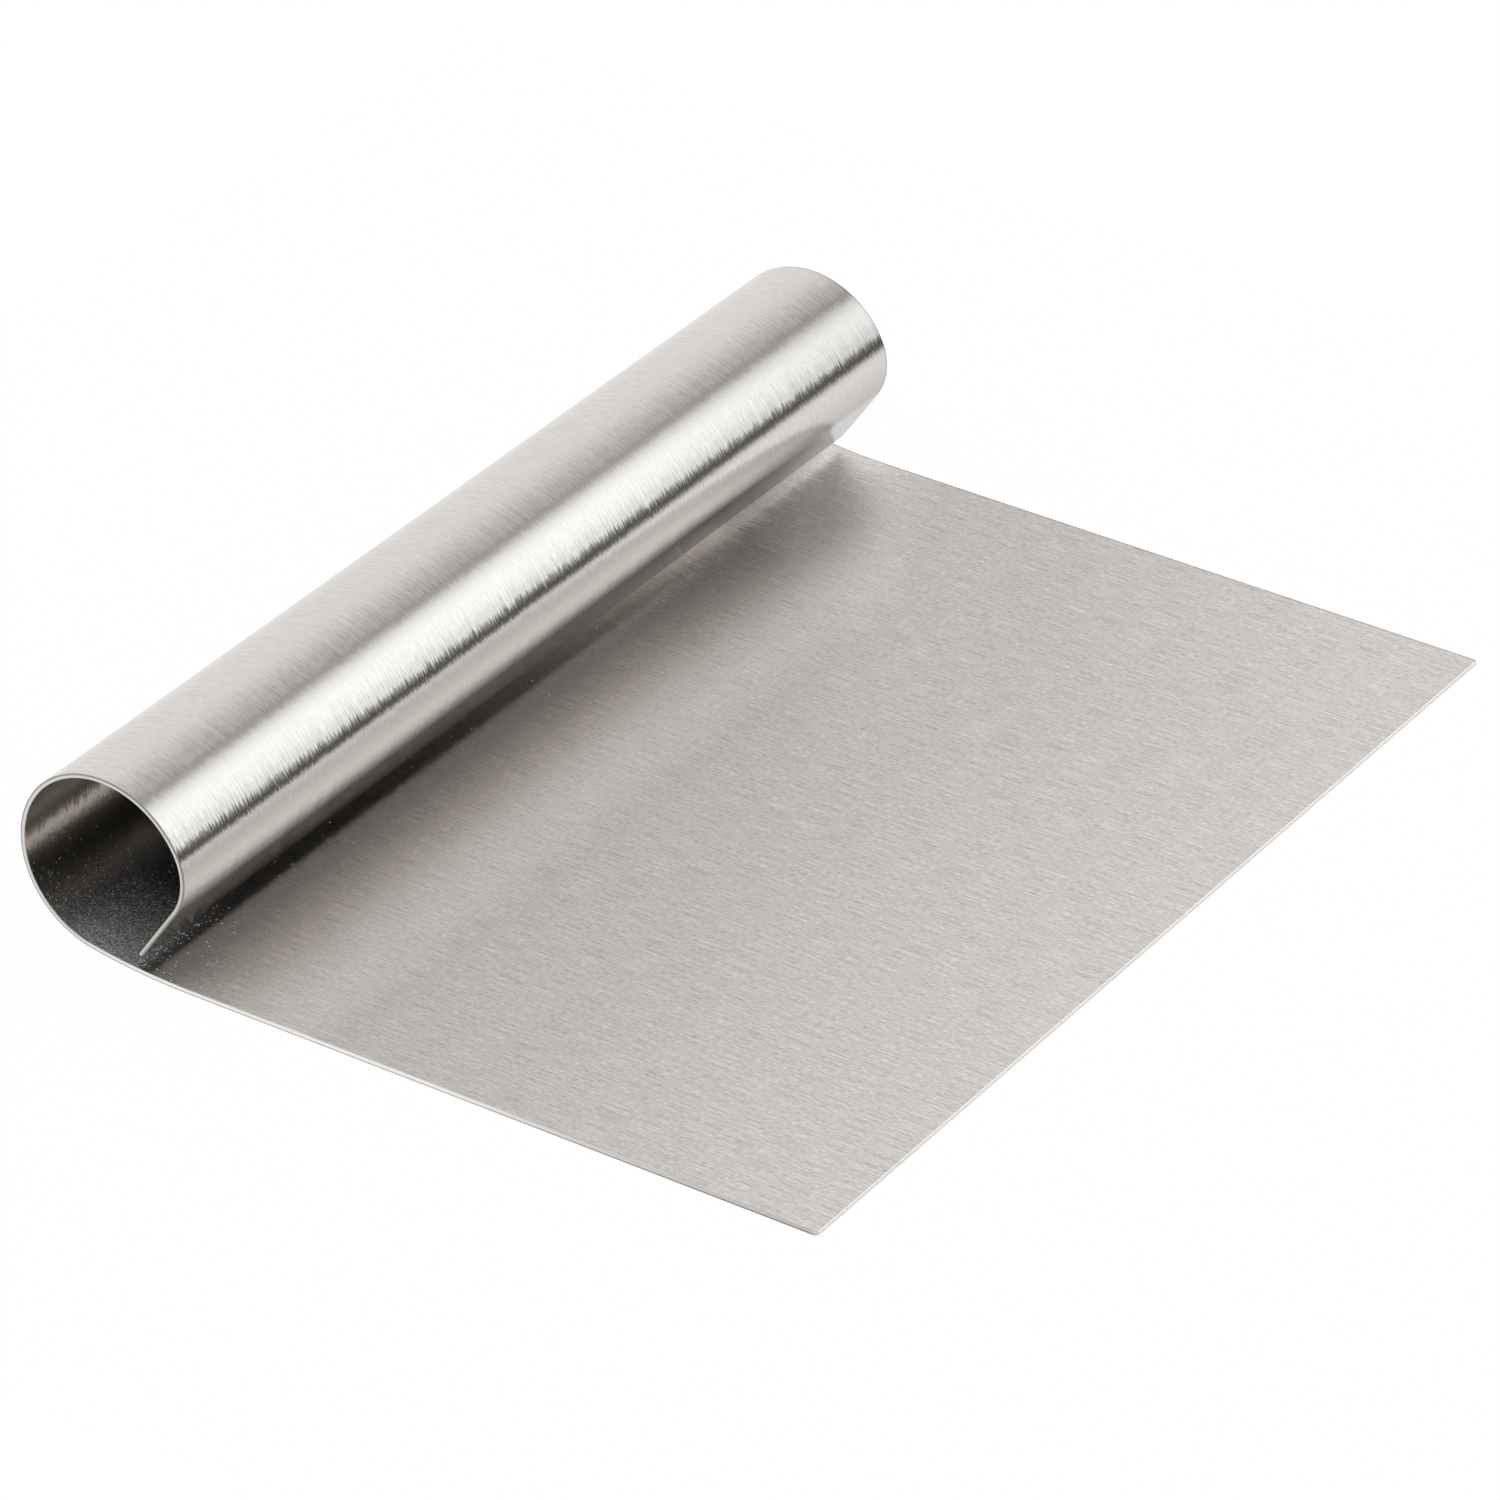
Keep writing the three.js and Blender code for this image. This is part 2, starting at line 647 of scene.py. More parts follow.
def sheet_surface(size):
    """The bent sheet's points, faces, blank coordinates (x, s), places across it and finish of each face.

    A flat blank of points (x, s, n), with n across the thickness, is bent by (x, p(s) + n q(s)), where p is
    the mid-line and q its normal. The upper and lower faces are grids, and rings of a half-round profile of
    the edge break's radius e join them: out by e sin a at n = h - e + e cos a, with h half the thickness.
    """
    stretches, start = bend_chain(size)
    s, w, across, along = blank_rows(size, stretches)
    h, e = size.thickness / 2, size.edge_break
    # A narrow column at each end keeps the faces flat right up to the edge
    hold = e / size.width
    columns = np.linspace(-1, 1, round(size.width / size.flat_step) + 1)
    columns = np.concatenate([[-1, -1 + hold], columns[1:-1], [1 - hold, 1]])
    rows, cols = len(s), len(columns)
    grid_x = w[:, None] * columns[None]
    grid_s = np.repeat(s[:, None], cols, 1)
    index = np.arange(rows * cols).reshape(rows, cols)
    loop = np.concatenate([index[0, :-1], index[:-1, -1], index[-1, :0:-1], index[:0:-1, 0]])
    side = np.sign(columns)
    out_x = np.where(np.abs(columns)[None] == 1, across[:, None] * side[None], 0.0).ravel()[loop]
    out_s = np.where(np.abs(columns)[None] == 1, along[:, None], 0.0)
    out_s[0], out_s[-1] = -1.0, 1.0
    out_s = out_s.ravel()[loop]
    a = np.linspace(0, math.pi / 2, EDGE_FACES + 1)
    ring_out = np.concatenate([e * np.sin(a[1:]), e * np.sin(a[:0:-1])])
    ring_n = np.concatenate([h - e + e * np.cos(a[1:]), -(h - e) - e * np.cos(a[:0:-1])])
    ring_x = grid_x.ravel()[loop][None] + ring_out[:, None] * out_x[None]
    ring_s = grid_s.ravel()[loop][None] + ring_out[:, None] * out_s[None]
    flat = np.ones(rows * cols)
    x = np.concatenate([grid_x.ravel(), grid_x.ravel(), ring_x.ravel()])
    s_all = np.concatenate([grid_s.ravel(), grid_s.ravel(), ring_s.ravel()])
    n = np.concatenate([h * flat, -h * flat, np.repeat(ring_n, len(loop))])
    y, z, heading = mid_line(stretches, start, s_all)
    points = np.stack([x, y - n * np.sin(heading), z + n * np.cos(heading)], 1)
    quad = np.stack([index[:-1, :-1], index[:-1, 1:], index[1:, 1:], index[1:, :-1]], -1).reshape(-1, 4)
    under = quad[:, ::-1] + rows * cols
    ring_index = 2 * rows * cols + np.arange(ring_x.size).reshape(ring_x.shape)
    stack = np.concatenate([loop[None], ring_index, loop[None] + rows * cols])
    ahead = np.roll(stack, -1, 1)
    edge = np.stack([stack[:-1], stack[1:], ahead[1:], ahead[:-1]], -1).reshape(-1, 4)
    faces = np.concatenate([quad, under, edge])
    finish_of_face = np.repeat([0, 1, 2], [len(quad), len(under), len(edge)]).astype(np.int32)
    return points, faces, np.stack([x, s_all], 1), 0.5 - n / (2 * h), finish_of_face


def mesh_object(name, points, faces, uv, across, material_of_face):
    """A smooth mesh object from arrays of points and four-sided faces.

    Its UV map holds the metres of the blank, and its attribute the place across the sheet, from 0 on the
    inner face to 1 on the outer one.
    """
    mesh = bpy.data.meshes.new(name)
    mesh.vertices.add(len(points))
    mesh.vertices.foreach_set("co", points.astype(np.float32).ravel())
    mesh.loops.add(faces.size)
    mesh.loops.foreach_set("vertex_index", faces.astype(np.int32).ravel())
    mesh.polygons.add(len(faces))
    mesh.polygons.foreach_set("loop_start", np.arange(0, faces.size, 4, dtype=np.int32))
    mesh.polygons.foreach_set("material_index", material_of_face)
    mesh.polygons.foreach_set("use_smooth", np.ones(len(faces), bool))
    layer = mesh.uv_layers.new(name="Blank")
    layer.uv.foreach_set("vector", uv[faces.ravel()].astype(np.float32).ravel())
    mesh.attributes.new("across", "FLOAT", "POINT").data.foreach_set("value", across.astype(np.float32))
    mesh.update()
    mesh.validate()
    piece = bpy.data.objects.new(name, mesh)
    bpy.context.scene.collection.objects.link(piece)
    return piece


def add_node(tree, kind, settings=None, stops=(), **inputs):
    """Adds a node with its settings, its ramp's stops (place, colour) and its inputs, set or linked.

    A stop's colour is a grey level or a red, green and blue. An input is given by its name, or by its
    number as in_0, in_1 and so on.
    """
    node = tree.nodes.new(kind)
    for key, value in (settings or {}).items():
        setattr(node, key, value)
    for number, (place, colour) in enumerate(stops):
        elements = node.color_ramp.elements
        stop = elements[number] if number < 2 else elements.new(place)
        stop.position = place
        stop.color = (*np.broadcast_to(colour, 3), 1)
    for key, value in inputs.items():
        name = int(key[3:]) if key.startswith("in_") else key.replace("_", " ")
        socket = node.inputs[name]
        if isinstance(value, bpy.types.NodeSocket):
            tree.links.new(value, socket)
        else:
            socket.default_value = value
    return node


def new_material(name):
    """An empty node material and its output node."""
    material = bpy.data.materials.new(name)
    material.use_nodes = True
    material.node_tree.nodes.clear()
    return material, add_node(material.node_tree, "ShaderNodeOutputMaterial")


def brush_marks(tree, place, width_mm, lengths_mm):
    """The swing of the brush marks about 0: the mean of long and short streaks of noise along the blank."""
    swing = 0.0
    for length_mm in lengths_mm:
        stretched = add_node(
            tree,
            "ShaderNodeMapping",
            Vector=place,
            Scale=(1 / (width_mm * MM), 1 / (length_mm * MM), 1),
        ).outputs["Vector"]
        streak = add_node(
            tree, "ShaderNodeTexNoise", {"noise_dimensions": "2D"}, Vector=stretched, Scale=1.0, Detail=1.0
        ).outputs["Fac"]
        swing = add_node(
            tree,
            "ShaderNodeMath",
            {"operation": "MULTIPLY_ADD"},
            in_0=streak,
            in_1=1 / len(lengths_mm),
            in_2=swing,
        ).outputs["Value"]
    return add_node(
        tree, "ShaderNodeMath", {"operation": "SUBTRACT"}, in_0=swing, in_1=0.5
    ).outputs["Value"]


def dust_specks(tree, place, finish, share):
    """Where specks of dust lie, how dusty the steel is, and the random values of each place for a speck.

    A share of the places, the cells of a Voronoi pattern, holds a round speck of a random radius. A thin
    film lies between the specks.
    """
    cells = add_node(
        tree,
        "ShaderNodeTexVoronoi",
        {"voronoi_dimensions": "2D"},
        Vector=place,
        Scale=1 / (finish.dust_mm * MM),
    )
    chance = add_node(tree, "ShaderNodeSeparateColor", Color=cells.outputs["Color"])
    taken = add_node(
        tree, "ShaderNodeMath", {"operation": "LESS_THAN"}, in_0=chance.outputs["Blue"], in_1=share
    ).outputs["Value"]
    radius = add_node(
        tree,
        "ShaderNodeMapRange",
        Value=chance.outputs["Red"],
        To_Min=SPECK_SIZES[0],
        To_Max=SPECK_SIZES[1],
    ).outputs["Result"]
    inside = add_node(
        tree, "ShaderNodeMath", {"operation": "LESS_THAN"}, in_0=cells.outputs["Distance"], in_1=radius
    ).outputs["Value"]
    speck = add_node(
        tree, "ShaderNodeMath", {"operation": "MULTIPLY"}, in_0=taken, in_1=inside
    ).outputs["Value"]
    film = add_node(
        tree, "ShaderNodeMath", {"operation": "MULTIPLY"}, in_0=share, in_1=finish.dust_film
    ).outputs["Value"]
    dusty = add_node(
        tree, "ShaderNodeMath", {"operation": "MAXIMUM"}, in_0=speck, in_1=film
    ).outputs["Value"]
    return speck, dusty, chance


def leaning_normal(tree, tangent, slope, speck, chance, dust_tilt):
    """The normal, leaning along the grain by a brush mark's slope, and any way on a speck of dust."""
    normal = add_node(tree, "ShaderNodeNewGeometry").outputs["Normal"]
    along = add_node(
        tree, "ShaderNodeVectorMath", {"operation": "CROSS_PRODUCT"}, in_0=normal, in_1=tangent
    ).outputs["Vector"]
    leaning = add_node(
        tree, "ShaderNodeVectorMath", {"operation": "MULTIPLY_ADD"}, in_0=along, in_1=slope, in_2=normal
    ).outputs["Vector"]
    for way, channel in ((tangent, "Red"), (along, "Green")):
        tilt = add_node(
            tree,
            "ShaderNodeMapRange",
            Value=chance.outputs[channel],
            To_Min=-dust_tilt,
            To_Max=dust_tilt,
        ).outputs["Result"]
        tilt = add_node(
            tree, "ShaderNodeMath", {"operation": "MULTIPLY"}, in_0=tilt, in_1=speck
        ).outputs["Value"]
        leaning = add_node(
            tree, "ShaderNodeVectorMath", {"operation": "MULTIPLY_ADD"}, in_0=way, in_1=tilt, in_2=leaning
        ).outputs["Vector"]
    return add_node(
        tree, "ShaderNodeVectorMath", {"operation": "NORMALIZE"}, in_0=leaning
    ).outputs["Vector"]


def brushed_steel(
    name, finish, tones, right_painted_shadings, roughnesses, anisotropies, leans, dust_shares, marks, askew_mm=0.0
):
    """Stainless steel sheet with a fine linear brushing, from the cutting edge back and round the roll.

    The grain spreads reflections across itself more than along itself, so a light shows as a band along the
    handle. Single brush marks lean a little, which makes the band's edges ragged. Dust is dull, so its
    specks catch light from all round and show where the steel mirrors something dark.

    The tones, also those of the right end, the roughnesses, anisotropies, leans and dust shares are stops:
    mm along the blank from the cutting edge, and a value. The tones are painted light and shade: stretches of
    the colour lighter or darker where the steel mirrors bright or dark surroundings. At the right end they
    are shifted back by askew_mm.
    The marks are the lengths of the brush marks and their contrast.
    """
    material, output = new_material(name)
    tree = material.node_tree
    place = add_node(tree, "ShaderNodeUVMap", {"uv_map": "Blank"}).outputs["UV"]
    spot = add_node(tree, "ShaderNodeSeparateXYZ", in_0=place)
    askew = add_node(
        tree,
        "ShaderNodeMapRange",
        Value=spot.outputs["X"],
        From_Min=ASKEW_FROM,
        From_Max=ASKEW_TO,
        To_Max=askew_mm * MM,
    ).outputs["Result"]
    length = add_node(
        tree, "ShaderNodeMath", {"operation": "SUBTRACT"}, in_0=spot.outputs["Y"], in_1=askew
    ).outputs["Value"]
    length = add_node(
        tree, "ShaderNodeMapRange", Value=length, From_Max=BLANK_REACH
    ).outputs["Result"]
    tone, right_painted_shading, gloss, spread, lean, share = (
        add_node(
            tree,
            "ShaderNodeValToRGB",
            stops=[(s * MM / BLANK_REACH, level) for s, level in stops],
            Fac=length,
        ).outputs["Color"]
        for stops in (tones, right_painted_shadings, roughnesses, anisotropies, leans, dust_shares)
    )
    # Towards the right end, the right end's painted light and shade take over from the others
    rightward = add_node(
        tree, "ShaderNodeMapRange", Value=spot.outputs["X"], From_Min=RIGHT_FROM, From_Max=RIGHT_TO
    ).outputs["Result"]
    tone = add_node(
        tree, "ShaderNodeMix", {"data_type": "RGBA"}, Factor=rightward, in_6=tone, in_7=right_painted_shading
    ).outputs[2]

    *lengths_mm, contrast = marks
    swing = brush_marks(tree, place, finish.streak_width_mm, lengths_mm)
    mark = add_node(
        tree, "ShaderNodeMath", {"operation": "MULTIPLY_ADD"}, in_0=swing, in_1=contrast, in_2=1.0
    ).outputs["Value"]
    # Painted shade along the right side, where the edge rolls over
    rolled_painted_shade = add_node(
        tree,
        "ShaderNodeMapRange",
        Value=spot.outputs["X"],
        From_Min=ROLLED_FROM,
        From_Max=ROLLED_TO,
        To_Min=1.0,
        To_Max=ROLLED_PAINTED_SHADE,
    ).outputs["Result"]
    mark = add_node(
        tree, "ShaderNodeMath", {"operation": "MULTIPLY"}, in_0=mark, in_1=rolled_painted_shade
    ).outputs["Value"]
    steel = add_node(
        tree, "ShaderNodeVectorMath", {"operation": "SCALE"}, in_0=tone, Scale=mark
    ).outputs["Vector"]

    leftward = add_node(
        tree,
        "ShaderNodeMapRange",
        Value=spot.outputs["X"],
        From_Min=DUSTY_FROM,
        From_Max=DUSTY_TO,
        To_Min=CLEAN_SHARE,
    ).outputs["Result"]
    share = add_node(
        tree, "ShaderNodeMath", {"operation": "MULTIPLY"}, in_0=share, in_1=leftward
    ).outputs["Value"]
    speck, dusty, chance = dust_specks(tree, place, finish, share)
    bare = add_node(
        tree, "ShaderNodeMath", {"operation": "SUBTRACT"}, in_0=1.0, in_1=dusty
    ).outputs["Value"]
    shine = add_node(
        tree,
        "ShaderNodeMapRange",
        Value=chance.outputs["Green"],
        To_Min=SPECK_SHINES[0],
        To_Max=SPECK_SHINES[1],
    ).outputs["Result"]
    powder = add_node(
        tree, "ShaderNodeVectorMath", {"operation": "SCALE"}, in_0=finish.dust[:3], Scale=shine
    ).outputs["Vector"]
    colour = add_node(
        tree, "ShaderNodeMix", {"data_type": "RGBA"}, Factor=speck, in_6=steel, in_7=powder
    ).outputs[2]
    roughness = add_node(tree, "ShaderNodeMix", Factor=speck, in_2=gloss, in_3=0.5).outputs[0]

    tangent = add_node(
        tree, "ShaderNodeTangent", {"direction_type": "UV_MAP", "uv_map": "Blank"}
    ).outputs["Tangent"]
    slope = add_node(
        tree, "ShaderNodeMath", {"operation": "MULTIPLY"}, in_0=swing, in_1=lean
    ).outputs["Value"]
    shader = add_node(
        tree,
        "ShaderNodeBsdfPrincipled",
        Base_Color=colour,
        Metallic=bare,
        Roughness=roughness,
        Anisotropic=spread,
        Tangent=tangent,
        Normal=leaning_normal(tree, tangent, slope, speck, chance, finish.dust_tilt),
    )
    tree.links.new(shader.outputs["BSDF"], output.inputs["Surface"])
    return material


def sheared_edge(finish):
    """Sheared steel: a smooth bright land on the inner part of the cut edge, and a dull break on the outer,
    darkened further by painted shade.

    On the cutting edge the break is a faint line in the middle of the thickness. Along the left edge painted
    shade darkens it towards the front and along the tail, past a painted glint at the front corners, and
    painted shade darkens the right edge all along.
    """
    material, output = new_material("sheared_steel_edge")
    tree = material.node_tree
    place = add_node(tree, "ShaderNodeUVMap", {"uv_map": "Blank"}).outputs["UV"]
    spot = add_node(tree, "ShaderNodeSeparateXYZ", in_0=place)
    across = add_node(tree, "ShaderNodeAttribute", {"attribute_name": "across"}).outputs["Fac"]
    side_break = add_node(
        tree, "ShaderNodeMapRange", Value=across, From_Min=0.55, From_Max=0.75
    ).outputs["Result"]
    front_break = add_node(
        tree, "ShaderNodeValToRGB", stops=((0.2, 0.0), (0.38, 0.6), (0.5, 0.6), (0.7, 0.0)), Fac=across
    ).outputs["Color"]
    front = add_node(
        tree, "ShaderNodeMath", {"operation": "LESS_THAN"}, in_0=spot.outputs["Y"], in_1=FRONT_EDGE
    ).outputs["Value"]
    broken = add_node(
        tree, "ShaderNodeMix", Factor=front, in_2=side_break, in_3=front_break
    ).outputs[0]
    length = add_node(
        tree, "ShaderNodeMapRange", Value=spot.outputs["Y"], From_Max=BLANK_REACH
    ).outputs["Result"]
    # By mm along the blank: shares of light reflected by the land and by the break, in red and green, which
    # paint light and shade along the edge and a glint at the front corners
    shares = (
        (0.0, (1.0, 0.55, 0)),
        (0.5, (1.0, 0.55, 0)),
        (0.7, (0.6, 0.1, 0)),
        (30, (0.75, 0.25, 0)),
        (50, (1.0, 0.45, 0)),
        (95, (1.0, 0.45, 0)),
        (105, (0.8, 0.38, 0)),
        (148, (0.8, 0.38, 0)),
        (158, (0.65, 0.3, 0)),
    )
    share = add_node(
        tree,
        "ShaderNodeValToRGB",
        stops=[(s * MM / BLANK_REACH, levels) for s, levels in shares],
        Fac=length,
    ).outputs["Color"]
    share = add_node(tree, "ShaderNodeSeparateColor", Color=share)
    tone = add_node(
        tree, "ShaderNodeMix", Factor=broken, in_2=share.outputs["Red"], in_3=share.outputs["Green"]
    ).outputs[0]
    # Painted shade: the right cut edge is darkened all along
    right = add_node(
        tree,
        "ShaderNodeMapRange",
        Value=spot.outputs["X"],
        From_Min=RIGHT_EDGE_FROM,
        From_Max=RIGHT_EDGE_TO,
        To_Min=1.0,
        To_Max=RIGHT_EDGE_PAINTED_SHADE,
    ).outputs["Result"]
    tone = add_node(
        tree, "ShaderNodeMath", {"operation": "MULTIPLY"}, in_0=tone, in_1=right
    ).outputs["Value"]
    colour = add_node(
        tree, "ShaderNodeVectorMath", {"operation": "SCALE"}, in_0=finish.cut_edge[:3], Scale=tone
    ).outputs["Vector"]
    shader = add_node(
        tree, "ShaderNodeBsdfPrincipled", Base_Color=colour, Metallic=1.0, Roughness=0.45
    )
    tree.links.new(shader.outputs["BSDF"], output.inputs["Surface"])
    return material


class SCRAPER_OT_sheet(bpy.types.Operator):
    """Builds the bent steel sheet"""

    bl_idname = "scraper.sheet"
    bl_label = "Bent sheet"

    def execute(self, context):
        scene = context.scene
        finish = scene.scraper_finish
        steel, warm_painted_reflection = np.array(finish.steel[:3]), np.array(finish.warm_painted_reflection[:3])
        points, faces, blank, across, finish_of_face = sheet_surface(scene.scraper_sheet)
        sheet = mesh_object("scraper_sheet_visual", points, faces, blank, across, finish_of_face)
        # Painted light and shade along the inner face: lighter at the cutting edge and beside the handle,
        # darker below the tail, lighter at the bottom of the handle's inside, a warm painted reflection at
        # its back, darker again towards its front and nearly black inside the front, which is less dark at
        # the right end
        inner_tones = (
            (3, steel * finish.front_painted_light),
            (48, steel * finish.middle_tone),
            (66, steel * finish.middle_tone),
            (80, steel * finish.heel_painted_light),
            (83, steel * finish.heel_painted_light),
            (90, steel * finish.under_painted_shade),
            (93, steel * finish.under_painted_shade),
            (98, steel * finish.bore_painted_light),
            (107, steel * finish.bore_painted_light),
            (114, warm_painted_reflection * finish.back_painted_reflection),
            (118, warm_painted_reflection * finish.back_painted_reflection),
            (121, steel * finish.bore_painted_light * 0.55),
            (132, steel * finish.front_bore_painted_shade),
        )
        inner = brushed_steel(
            "brushed_steel_inner",
            finish,
            tones=inner_tones,
            right_painted_shadings=(*inner_tones[:-2], (121, steel * finish.right_bore_painted_light)),
            roughnesses=((86, finish.blade_roughness), (100, finish.bore_roughness)),
            anisotropies=((86, finish.blade_anisotropy), (100, finish.bore_anisotropy)),
            leans=(
                (82, finish.blade_lean),
                (90, finish.under_lean),
                (100, finish.under_lean),
                (108, finish.bore_lean),
            ),
            dust_shares=(
                (60, 0.0),
                (82, finish.dust_blade),
                (93, finish.dust_blade),
                (97, finish.dust_bore),
                (102, finish.dust_bore),
                (106, finish.dust_bore * 0.3),
                (110, finish.dust_bore * 0.06),
                (118, 0.004),
            ),
            marks=(finish.streak_length_mm, finish.hair_length_mm, finish.streak_contrast),
            askew_mm=finish.askew_mm,
        )
        outer = brushed_steel(
            "brushed_steel_outer",
            finish,
            # Painted light and shade along the outer face: a lighter lip and a darker tail, and at the right
            # end a dimmer highlight and a darker tail
            tones=(
                (149, steel * finish.outer_tone),
                (152, steel * finish.lip_painted_light),
                (154, steel * finish.tail_painted_shade),
            ),
            right_painted_shadings=(
                (140, steel * finish.outer_tone),
                (143, steel * finish.right_painted_shading),
                (149, steel * finish.right_painted_shading),
                (151, steel * finish.lip_painted_light),
                (154, steel * finish.tail_painted_shade),
                (156.5, steel * finish.right_tail_painted_shade),
            ),
            roughnesses=((150, finish.outer_roughness), (155, finish.tail_roughness)),
            anisotropies=((0, finish.outer_anisotropy), (170, finish.outer_anisotropy)),
            leans=((0, finish.outer_lean), (170, finish.outer_lean)),
            dust_shares=((0, 0.0), (170, 0.0)),
            marks=(finish.roll_streak_mm, finish.roll_hair_mm, finish.roll_contrast),
        )
        for material in (inner, outer, sheared_edge(finish)):
            sheet.data.materials.append(material)
        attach(sheet, "root")
        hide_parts("scraper_sheet")
        return {"FINISHED"}


def seen_directly(tree):
    """1 for rays from the camera and for mirror and glass rays, which show the background as it is."""
    path = add_node(tree, "ShaderNodeLightPath")
    either = add_node(
        tree,
        "ShaderNodeMath",
        {"operation": "MAXIMUM"},
        in_0=path.outputs["Is Camera Ray"],
        in_1=path.outputs["Is Glossy Ray"],
    ).outputs["Value"]
    return add_node(
        tree,
        "ShaderNodeMath",
        {"operation": "MAXIMUM"},
        in_0=either,
        in_1=path.outputs["Is Transmission Ray"],
    ).outputs["Value"]


def make_floor(stage):
    """A flat square floor, white to the eye, that keeps a trace of the scraper's shadow."""
    half = stage.floor_half
    material, output = new_material("pale_studio_floor")
    tree = material.node_tree
    paint = add_node(tree, "ShaderNodeBsdfDiffuse", Color=linear("#F4F4F4"))
    glow = add_node(tree, "ShaderNodeEmission", Color=(1, 1, 1, 1), Strength=1.0)
    share = add_node(
        tree, "ShaderNodeMath", {"operation": "MULTIPLY"}, in_0=seen_directly(tree), in_1=FLOOR_WHITE
    ).outputs["Value"]
    both = add_node(
        tree, "ShaderNodeMixShader", Fac=share, in_1=paint.outputs["BSDF"], in_2=glow.outputs["Emission"]
    )
    tree.links.new(both.outputs["Shader"], output.inputs["Surface"])
    mesh = bpy.data.meshes.new("floor")
    corners = [(-half, -half, 0), (half, -half, 0), (half, half, 0), (-half, half, 0)]
    mesh.from_pydata(corners, [], [(0, 1, 2, 3)])
    mesh.materials.append(material)
    floor = bpy.data.objects.new("floor", mesh)
    bpy.context.scene.collection.objects.link(floor)


def make_world(stage):
    """A soft light tent round the handle's axis, whose brightness goes by the angle from straight up.

    The back wall is bright, the top is dimmer, a large softbox hangs above the front, and the front is dark
    at the height of the table. A dark flag stands at the front left, and the right side wall is bright. The
    camera sees plain white in its place.
    """
    world = bpy.data.worlds.new("light_tent")
    bpy.context.scene.world = world
    world.use_nodes = True
    tree = world.node_tree
    tree.nodes.clear()
    output = add_node(tree, "ShaderNodeOutputWorld")
    way = add_node(tree, "ShaderNodeTexCoord").outputs["Generated"]
    parts = add_node(tree, "ShaderNodeSeparateXYZ", in_0=way)
    forward = add_node(
        tree, "ShaderNodeMath", {"operation": "MULTIPLY"}, in_0=parts.outputs["Y"], in_1=-1.0
    ).outputs["Value"]
    angle = add_node(
        tree, "ShaderNodeMath", {"operation": "ARCTAN2"}, in_0=forward, in_1=parts.outputs["Z"]
    ).outputs["Value"]
    turn = add_node(
        tree, "ShaderNodeMapRange", Value=angle, From_Min=-math.pi, From_Max=math.pi
    ).outputs["Result"]
    # Brightness by degrees from straight up, where the front is positive
    walls = [
        (-180, 1.0),
        (-95, 1.0),
        (-60, 1.06),
        (-36, 1.04),
        (-24, 0.91),
        (-14, 0.79),
        (-5, 0.64),
        (3, 0.66),
        (10, 0.36),
        (16, 0.6),
        (78, 0.2),
        (84, 0.06),
        (94, 0.06),
        (100, 1.0),
    ]
    softbox = [
        (21, 1.05),
        (26, 1.26),
        (32, 1.43),
        (40, 1.55),
        (50, 1.5),
        (60, 1.43),
        (68, 1.15),
        (74, 1.45),
    ]
    cool = np.array(stage.softbox_tint)
    stops = walls + [(degrees, level * cool) for degrees, level in softbox]
    ramp = add_node(
        tree,
        "ShaderNodeValToRGB",
        stops=[((degrees + 180) / 360, level) for degrees, level in stops],
        Fac=turn,
    )
    left = add_node(
        tree, "ShaderNodeMapRange", Value=parts.outputs["X"], From_Min=0.0, From_Max=-0.3
    ).outputs["Result"]
    front = add_node(
        tree, "ShaderNodeMapRange", Value=forward, From_Min=-0.1, From_Max=0.2
    ).outputs["Result"]
    hidden = add_node(
        tree, "ShaderNodeMath", {"operation": "MULTIPLY"}, in_0=left, in_1=front
    ).outputs["Value"]
    open_share = add_node(
        tree, "ShaderNodeMath", {"operation": "MULTIPLY_ADD"}, in_0=hidden, in_1=-stage.flag, in_2=1.0
    ).outputs["Value"]
    right = add_node(
        tree,
        "ShaderNodeMapRange",
        Value=parts.outputs["X"],
        From_Min=0.85,
        From_Max=0.97,
        To_Min=1.0,
        To_Max=stage.side_wall,
    ).outputs["Result"]
    strength = add_node(
        tree, "ShaderNodeMath", {"operation": "MULTIPLY"}, in_0=open_share, in_1=right
    ).outputs["Value"]
    tent = add_node(tree, "ShaderNodeBackground", Color=ramp.outputs["Color"], Strength=strength)
    white = add_node(tree, "ShaderNodeBackground", Color=(1, 1, 1, 1), Strength=1.0)
    camera_ray = add_node(tree, "ShaderNodeLightPath").outputs["Is Camera Ray"]
    both = add_node(
        tree,
        "ShaderNodeMixShader",
        Fac=camera_ray,
        in_1=tent.outputs["Background"],
        in_2=white.outputs["Background"],
    )
    tree.links.new(both.outputs["Shader"], output.inputs["Surface"])


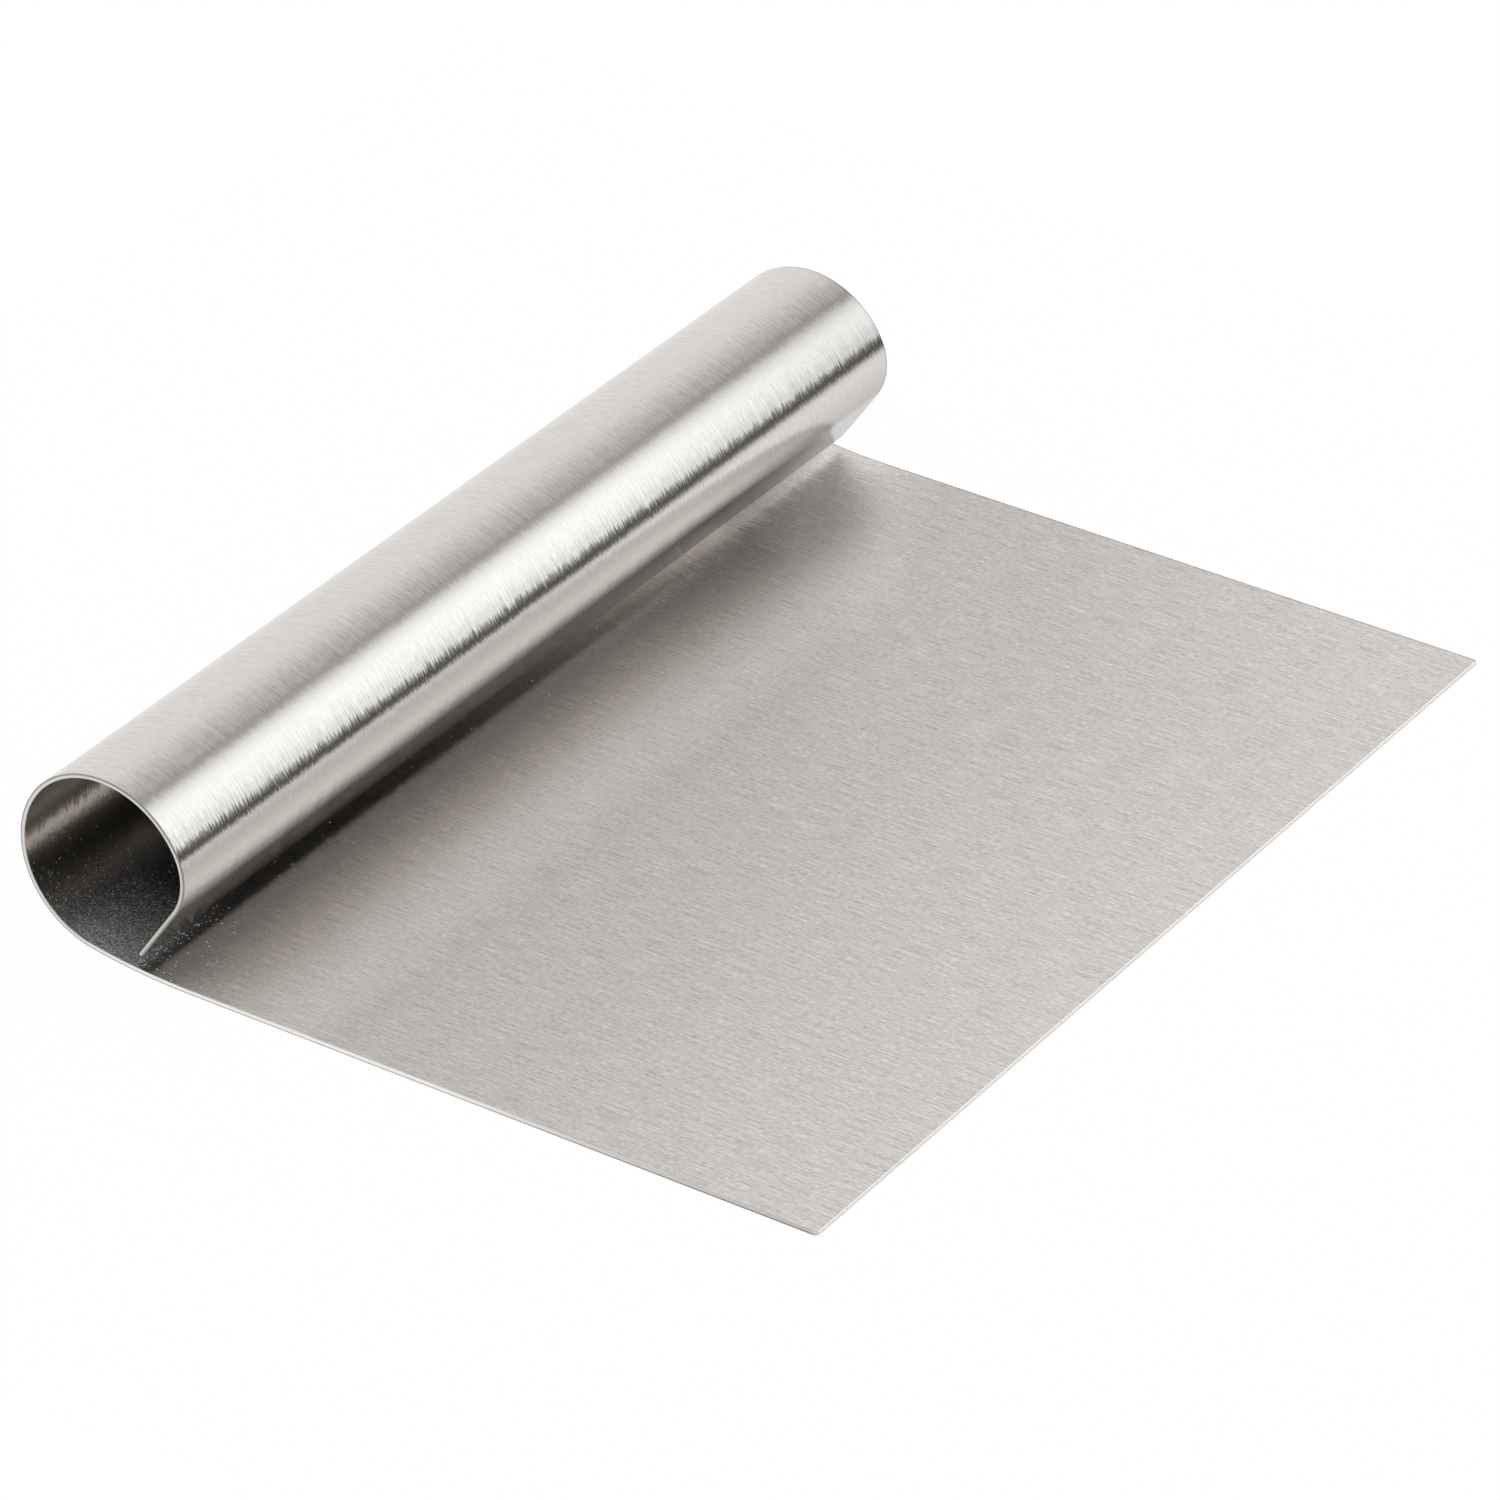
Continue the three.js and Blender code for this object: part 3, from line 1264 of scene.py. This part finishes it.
def make_camera(stage):
    """The camera on a ray from the scraper's middle, turned to face it, with a long lens."""
    back = Vector(
        (
            math.sin(stage.azimuth) * math.cos(stage.elevation),
            -math.cos(stage.azimuth) * math.cos(stage.elevation),
            math.sin(stage.elevation),
        )
    )
    level = Vector((math.cos(stage.azimuth), math.sin(stage.azimuth), 0))
    upright = back.cross(level)
    right = level * math.cos(stage.roll) + upright * math.sin(stage.roll)
    up = upright * math.cos(stage.roll) - level * math.sin(stage.roll)
    eye = back * stage.distance + right * stage.aim[0] + up * stage.aim[1]
    data = bpy.data.cameras.new("camera")
    data.lens = stage.lens
    data.sensor_width = 36.0
    data.clip_start = 0.01
    camera = bpy.data.objects.new("camera", data)
    camera.matrix_world = Matrix.Translation(eye) @ Matrix((right, up, back)).transposed().to_4x4()
    bpy.context.scene.collection.objects.link(camera)
    bpy.context.scene.camera = camera


class SCRAPER_OT_stage(bpy.types.Operator):
    """Builds the floor, the light and the camera"""

    bl_idname = "scraper.stage"
    bl_label = "Stage"

    def execute(self, context):
        stage = context.scene.scraper_stage
        make_floor(stage)
        make_world(stage)
        make_camera(stage)
        context.scene.view_settings.view_transform = "Standard"
        return {"FINISHED"}


class SCRAPER_PT_panel(bpy.types.Panel):
    """Lists the scraper's sizes and the operators that build it"""

    bl_idname = "SCRAPER_PT_panel"
    bl_label = "Dough scraper"
    bl_space_type = "VIEW_3D"
    bl_region_type = "UI"
    bl_category = "Scraper"

    def draw(self, context):
        for group, cls in SETTINGS.items():
            box = self.layout.box()
            for name in cls.__annotations__:
                box.prop(getattr(context.scene, group), name)
        for operator in (SCRAPER_OT_sheet, SCRAPER_OT_stage):
            self.layout.operator(operator.bl_idname)


SETTINGS = {
    "scraper_sheet": ScraperSheetSettings,
    "scraper_finish": ScraperFinishSettings,
    "scraper_stage": ScraperStageSettings,
}
CLASSES = (*SETTINGS.values(), SCRAPER_OT_sheet, SCRAPER_OT_stage, SCRAPER_PT_panel)


def register():
    for cls in CLASSES:
        bpy.utils.register_class(cls)
    for name, cls in SETTINGS.items():
        setattr(bpy.types.Scene, name, PointerProperty(type=cls))


def unregister():
    for name in SETTINGS:
        delattr(bpy.types.Scene, name)
    for cls in reversed(CLASSES):
        bpy.utils.unregister_class(cls)


def main():
    register()
    bpy.ops.scraper.sheet()
    bpy.ops.scraper.stage()


if __name__ == "__main__":
    main()
